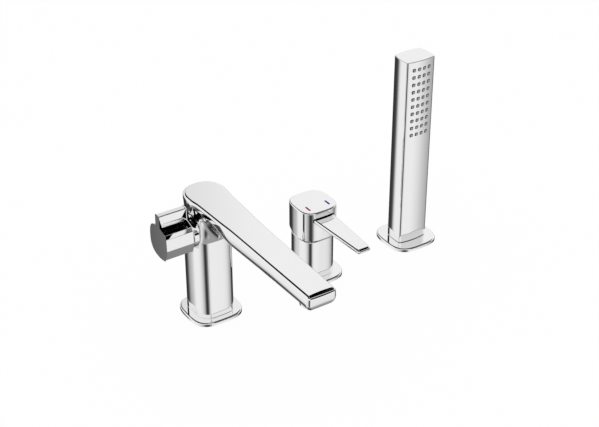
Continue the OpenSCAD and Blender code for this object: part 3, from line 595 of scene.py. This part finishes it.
def diverter():
    """Collar and knob, made upright and then laid along -X."""
    bore, r, start, end, edge = (COLLAR[k] for k in ("bore", "r", "start", "end", "edge"))
    profile = [(bore, start), (r, start)]
    profile += [(r - edge * a, end - edge * (1 - b)) for a, b in arc(5)]
    profile += [(COLLAR["face"], end), (bore, end)]
    ring = lathe("collar", profile, CHROME, count=128)
    place(ring, (-PITCH, 0, KNOB["z"]), sideways=True)
    dress(ring, "deck_set", "chrome", "diverter_collar")

    # Section through hub and fin as (height, depth), with each front corner's reach: flat facets in
    # front, round behind. Fault: it runs clockwise, so both ends of the knob flare outwards, where
    # they should be rounded in, and the key's cut leaves no socket
    front = {(31.5, 3.5): 1.1, (31.5, -3.5): 1.1, (17.8, -3.5): 0.3, (14.7, -14.3): 0.5, (10.2, -16.6): 0.5,
             (-3.4, -17.1): 0.5, (-16.4, -12.6): 1.0}
    behind = [(-17.8, -6.0), (-18.0, 0.5), (-17.0, 7.0), (-14.2, 13.0), (-8.0, 16.6), (-1.0, 17.4),
              (7.0, 17.0), (12.6, 15.0), (15.9, 11.3), (17.6, 3.5)]
    section = bent([*front, *behind], [*front.values()] + [KNOB["reach_behind"]] * len(behind))
    start, edge = KNOB["start"], KNOB["edge"]
    knob = rounded("knob", section, start, start + KNOB["long"], CHROME, low=edge, high=edge, steps=5)
    key = soft(KEY["half"], KEY["half"], KEY["soft"], 96)
    carve(knob, rounded("key", key, start - 1, start + KEY["deep"], CHROME))
    smooth(knob, 28)
    place(knob, (-PITCH, 0, KNOB["z"]), sideways=True)
    dress(knob, "diverter", "chrome", "diverter_knob")


diverter()


# Mixer

def mixer_body():
    """Soft square body with the cartridge's bore."""
    half, top, bore, floor_z = (BODY[k] for k in ("half", "top", "bore", "bore_floor"))
    body = rounded("mixer_casting", pillow(half, half, BODY["soft"], CROWN), PLATE["high"] + BODY["gap"], top,
                   CHROME, BODY["foot_edge"], BODY["top_edge"], 6)
    profile = [(0.001, floor_z), (bore, floor_z), (bore, top + 7), (0.001, top + 7)]
    carve(body, lathe("bore", profile, CHROME))
    dress(body, "deck_set", "chrome", "mixer_body")


def dome_ring():
    """Domed ring under the cap, round the pivot."""
    outer, inner, mouth, rim = (DOME[k] for k in ("outer", "inner", "mouth", "rim"))
    profile = [(outer * cos(a), PIVOT_Z + outer * sin(a))
               for a in np.linspace(asin(DOME["low"] / outer), acos(mouth / outer), 18)]
    profile += [(inner * cos(a), PIVOT_Z + inner * sin(a))
                for a in np.linspace(acos(mouth / inner), asin(rim / inner), 14)]
    profile += [(DOME["seat"], PIVOT_Z + rim), (DOME["seat"], PIVOT_Z + DOME["low"])]
    dress(lathe("dome", profile, CHROME, 144), "deck_set", "chrome", "dome_ring")


def mark(name, side, size, z1, mat):
    """Small upright block at the place of the hot or the cold mark."""
    ring = soft(size["half"], size["long"], MARK["soft"], 48) + [side * MARK["x"], MARK["y"]]
    return rounded(name, ring, CAP["top"] - MARK["deep"], z1, mat, 0.05, 0.08, 2)


def lever_cap():
    """Cap with room for the body's top, the dome and the blade, and with the marks' pockets."""
    half, n, low = CAP["half"], CAP["soft"], CAP["low"]
    cap = rounded("cap", pillow(half, half, n, lean=CAP["lean"], count=360), low, CAP["top"], CHROME,
                  high=CAP["edge"], steps=7, rows=24, bevel=CAP["bevel"])
    # The dome needs room at every lift
    inner = half - CAP["wall"]
    carve(cap, rounded("room", soft(inner, inner, n, 180), BODY["top"] - 1, BODY["top"] + 9, CHROME))
    r = CAP["ball"]
    ball = [(r * cos(a), PIVOT_Z + r * sin(a)) for a in np.linspace(-pi / 2 + 0.01, pi / 2 - 0.01, 60)]
    carve(cap, lathe("ball", [(0.001, ball[0][1]), *ball, (0.001, ball[-1][1])], CHROME, 180))
    # The cap's lower edge rises towards the back
    far, start, slope = 60.0, CAP_RELIEF["start"], CAP_RELIEF["angle"]
    outline = [(start, low), (start + far * cos(slope), low + far * sin(slope)),
               (far, low - 20), (start, low - 20)]
    verts = [(x, y, z) for x in (-far, far) for y, z in outline]
    faces = [(3, 2, 1, 0), (4, 5, 6, 7), (0, 1, 5, 4), (1, 2, 6, 5), (2, 3, 7, 6), (3, 0, 4, 7)]
    carve(cap, piece("wedge", verts, faces, CHROME))
    # Slot for the lever, along y
    mouth = soft(SLOT["half"], SLOT["high"], SLOT["soft"], 96)
    z = mouth[:, 1] + LEVER["z"] + SLOT["up"]
    tube = [np.column_stack([mouth[:, 0], np.full(len(mouth), y), z]) for y in (-30, -12)]
    carve(cap, loft("slot", tube, CHROME))
    for side in (-1, 1):
        carve(cap, mark("pocket", side, POCKET, CAP["top"] + 1, CHROME))
    smooth(cap, 30)
    dress(cap, "lever", "chrome", "lever_cap")


def lever_outline():
    """Plan outline of the lever, from its root in the cap to its rounded tip."""
    root, tip, leave, end, r = (LEVER[k] for k in ("root", "tip", "leave", "end", "corner"))
    right = [(root, -5), (root, -leave)]
    right += [(root + (tip - root) * s, -leave - (end - r - leave) * s) for s in np.linspace(0.05, 1, 24)]
    right += [(tip - r + r * cos(a), -end + r - r * sin(a)) for a in np.linspace(0, pi / 2, 12)[1:]]
    right += [(x, -end) for x in np.linspace(tip - r, 0, 6)[1:]]
    right = np.array(right)
    left = (right * [-1, 1])[::-1][1:]
    return np.concatenate([right, left])[::-1]


def lever_blade():
    """The blade's edges are round along its sides, and its tip has a wide edge above."""
    plan, edge = lever_outline(), LEVER_EDGE
    change = edge["tip_change"] * eased(-plan[:, 1], edge["tip_start"], edge["tip_run"])
    blade = rounded("blade", plan, LEVER["z"], LEVER["z"] + LEVER["thick"], CHROME,
                    edge["low"] - change, edge["high"] + change, 8)
    dress(blade, "lever", "chrome", "lever_blade")


mixer_body()
dome_ring()
lever_cap()
for side, mat, temperature, colour in ((-1, RED_MARK, "hot_mark", "red_enamel"),
                                       (1, BLUE_MARK, "cold_mark", "blue_enamel")):
    dress(mark(temperature + "_bar", side, MARK, CAP["top"], mat), "lever", colour, temperature)
lever_blade()


# Hand shower

def brow(x):
    """Depth of the handset's front face, which bows towards the middle."""
    return HAND["b"] * (1 - HAND["bow_y"] * (x / HAND["a"]) ** 2)


def at_holes(name, holes, stack, mat, closed, angle=32.0):
    """Joins soft squares (half side, distance behind the front face, squareness) at each nozzle hole."""
    count = NOZZLES["count"]
    verts, faces = [], []
    for x, z in holes:
        base, front = len(verts), -brow(x)
        for r, behind, n in stack:
            verts += [(x + a, front + behind, z + b) for a, b in soft(r, r, n, count)]
        for k in range(len(stack) - 1):
            a, b = base + k * count, base + (k + 1) * count
            faces += [(a + i, a + (i + 1) % count, b + (i + 1) % count, b + i) for i in range(count)]
        if closed:
            faces.append(tuple(base + i for i in reversed(range(count))))
        faces.append(tuple(base + (len(stack) - 1) * count + i for i in range(count)))
    return piece(name, verts, faces, mat, angle)


def handset():
    """Shell with its nozzle holes, and the silicone behind and in them."""
    columns, rows = NOZZLES["columns"], NOZZLES["rows"]
    holes = [((i - (columns - 1) / 2) * NOZZLES["dx"], HAND["top"] - NOZZLES["below_top"] - j * NOZZLES["dz"])
             for i in range(columns) for j in range(rows)]
    outline = pillow(HAND["a"], HAND["b"], HAND["soft"], HAND["bow_x"], HAND["bow_y"], HAND["lean"], 480)
    shell = rounded("handset", outline, HAND["low"], HAND["top"], CHROME,
                    HAND["foot_edge"], HAND["top_edge"], 5)
    r, n = NOZZLES["hole"], NOZZLES["hole_soft"]
    carve(shell, at_holes("holes", holes, [(r, -1, n), (r, 1.6, n)], CHROME, closed=True))
    place(shell, (PITCH, 0, 0))
    dress(shell, "handset", "chrome", "handset_shell")

    # Pad behind the holes, painted dark as the shade in the gaps round the tips, and a tip in each that
    # stands out of it, painted pale as the light on it: both are the same silicone
    square, turned = 3.4, 2.0
    pad = [(2.05, 1.7, square), (2.05, 0.1, square), (1.9, -0.05, square), (1.2, -0.05, turned)]
    tip = [(1.25, 1.0, square), (1.25, -0.9, square), (1.1, -1.1, turned), (0.6, -1.1, turned),
           (0.5, -0.9, turned), (0.5, 0.6, turned)]
    for name, mat, stack, nodes in (("nozzles", SILICONE_PAINTED_SHADE, pad, ["nozzle_pad"]),
                                    ("nozzle_tips", SILICONE_PAINTED_LIGHT, tip, [])):
        nozzles = at_holes(name, holes, stack, mat, closed=False, angle=50)
        place(nozzles, (PITCH, 0, 0))
        dress(nozzles, "handset", "grey_silicone", *nodes)


handset()


# Studio

def world():
    """Soft white surroundings. Polished metal mirrors panels and gaps in them, by direction alone."""
    w = bpy.data.worlds.new("studio")
    SCENE.world = w
    w.use_nodes = True
    nt = w.node_tree
    nt.nodes.clear()
    link, new = nt.links.new, nt.nodes.new

    def feed(socket, value):
        if isinstance(value, (int, float)):
            socket.default_value = value
        else:
            link(value, socket)

    def math(op, a, b=None):
        m = new("ShaderNodeMath")
        m.operation = op
        feed(m.inputs[0], a)
        if b is not None:
            feed(m.inputs[1], b)
        return m.outputs[0]

    def ease(value, low, high):
        m = new("ShaderNodeMapRange")
        m.interpolation_type = "SMOOTHSTEP"
        m.inputs["From Min"].default_value = low
        m.inputs["From Max"].default_value = high
        link(value, m.inputs["Value"])
        return m.outputs["Result"]

    def mix(fac, a, b):
        m = new("ShaderNodeMix")
        m.data_type = "FLOAT"
        feed(m.inputs[0], fac)
        feed(m.inputs[2], a)
        feed(m.inputs[3], b)
        return m.outputs[0]

    def window(value, a, b, c, d):
        """1 from b to c, and 0 before a and after d."""
        return math("MULTIPLY", ease(value, a, b), math("SUBTRACT", 1, ease(value, c, d)))

    # turn is the direction in degrees from +Y towards +X, lift its height above the horizon
    coord = new("ShaderNodeTexCoord")
    xyz = new("ShaderNodeSeparateXYZ")
    link(coord.outputs["Generated"], xyz.inputs[0])
    x, y, z = xyz.outputs
    turn = math("MULTIPLY", math("ARCTAN2", x, y), 180 / pi)
    lift = math("MULTIPLY", math("ARCSINE", z), 180 / pi)

    # Panels and gaps below the horizon, as (turn, tone of 255)
    ring = [(-180, 180), (-175, 150), (-168, 104), (-163, 62), (-148, 54), (-141, 92), (-134, 142),
            (-124, 178), (-110, 206), (-95, 226), (-81, 236), (-66, 243), (-38, 242), (-33, 214), (-30, 172),
            (-28, 130), (-25, 84), (-21, 58), (-5, 50), (60, 50), (92, 60), (100, 84), (106, 140),
            (112, 168), (120, 182), (126, 197), (132, 210), (137, 222), (146, 236), (152, 242), (167, 242),
            (173, 224)]
    ramp = new("ShaderNodeValToRGB")
    stops = ramp.color_ramp.elements
    while len(stops) > 1:
        stops.remove(stops[-1])
    for k, (a, tone) in enumerate(ring):
        c = ((tone / 255 + 0.055) / 1.055) ** 2.4
        spot = (a + 180) / 360
        stop = stops[0] if k == 0 else stops.new(spot)
        stop.position = spot
        stop.color = (c, c, c, 1)
    link(math("ADD", math("DIVIDE", turn, 360), 0.5), ramp.inputs["Fac"])
    side = ramp.outputs["Color"]

    # Bright above the horizon, dark higher up, grey overhead, and a dark band low down at the right front
    edge = mix(window(turn, -48, -38, 22, 30), 38.0, mix(window(turn, -20, -16, 20, 28), 37.0, 27.0))
    over = ease(math("SUBTRACT", lift, edge), -1.5, 2.5)
    band = math("MULTIPLY", window(turn, 112, 124, 168, 176), window(lift, -7, -3, 21, 38))
    bright = mix(window(turn, 5, 10, 26, 32), 0.92, 0.76)
    ceiling = mix(ease(lift, 60, 84), 0.0, 0.3)
    up = mix(math("MAXIMUM", over, band), bright, ceiling)
    level = mix(ease(lift, -12, -4), side, up)
    # Straight below it is dark again, and a little sooner at the right
    deep = mix(ease(lift, -72, -58), 0.03, 0.34)
    shown = math("SUBTRACT", lift, math("MULTIPLY", window(turn, -10, 10, 90, 110), 9))
    seen = mix(ease(shown, -54, -46), deep, level)

    rays = new("ShaderNodeLightPath")
    shiny = math("MAXIMUM", rays.outputs["Is Glossy Ray"], rays.outputs["Is Transmission Ray"])
    value = mix(rays.outputs["Is Camera Ray"], mix(shiny, 0.95, seen), 1.0)
    back = new("ShaderNodeBackground")
    link(value, back.inputs["Color"])
    out = new("ShaderNodeOutputWorld")
    link(back.outputs[0], out.inputs[0])


def floor():
    """Plain pale disc, white to the camera but for most of the shadow on it."""
    count, radius = 128, 4000.0
    mat = bpy.data.materials.new("floor")
    mat.use_nodes = True
    nt = mat.node_tree
    nt.nodes.clear()
    new, link = nt.nodes.new, nt.links.new
    coat = new("ShaderNodeBsdfDiffuse")
    noise = new("ShaderNodeTexNoise")
    noise.inputs["Scale"].default_value = 40
    tone = new("ShaderNodeValToRGB")
    for stop, grey in zip(tone.color_ramp.elements, (0.955, 0.965)):
        stop.color = (grey, grey, grey, 1)
    link(noise.outputs["Fac"], tone.inputs["Fac"])
    link(tone.outputs["Color"], coat.inputs["Color"])
    glow = new("ShaderNodeEmission")
    glow.inputs["Strength"].default_value = 1.0
    rays = new("ShaderNodeLightPath")
    share = new("ShaderNodeMath")
    share.operation = "MULTIPLY"
    share.inputs[1].default_value = 0.94
    link(rays.outputs["Is Camera Ray"], share.inputs[0])
    both = new("ShaderNodeMixShader")
    link(share.outputs[0], both.inputs[0])
    link(coat.outputs[0], both.inputs[1])
    link(glow.outputs[0], both.inputs[2])
    out = new("ShaderNodeOutputMaterial")
    link(both.outputs[0], out.inputs[0])
    mesh = bpy.data.meshes.new("floor")
    mesh.from_pydata([tuple(v * MM) for v in circle(radius, -0.2, count)], [], [tuple(range(count))])
    mesh.materials.append(mat)
    obj = bpy.data.objects.new("floor", mesh)
    obj.visible_glossy = False
    obj.visible_transmission = False
    SCENE.collection.objects.link(obj)


world()
floor()

lamp = bpy.data.objects.new("lamp", bpy.data.lights.new("lamp", "AREA"))
lamp.data.shape = "DISK"
lamp.data.size = 1.6
lamp.data.energy = 3.0
lamp.location = (-0.6, -0.9, 1.9)
aim(lamp, (0, 0, 0.08))
lamp.visible_glossy = False
SCENE.collection.objects.link(lamp)

# What is below the deck isn't mirrored in what is above it
for part in frame["record"]["subparts"]:
    node = frame["nodes"].get(part["node"])
    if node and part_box(part["node"])[1][2] < 0.0145 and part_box(part["node"])[0][2] < -0.001:
        node.visible_glossy = False
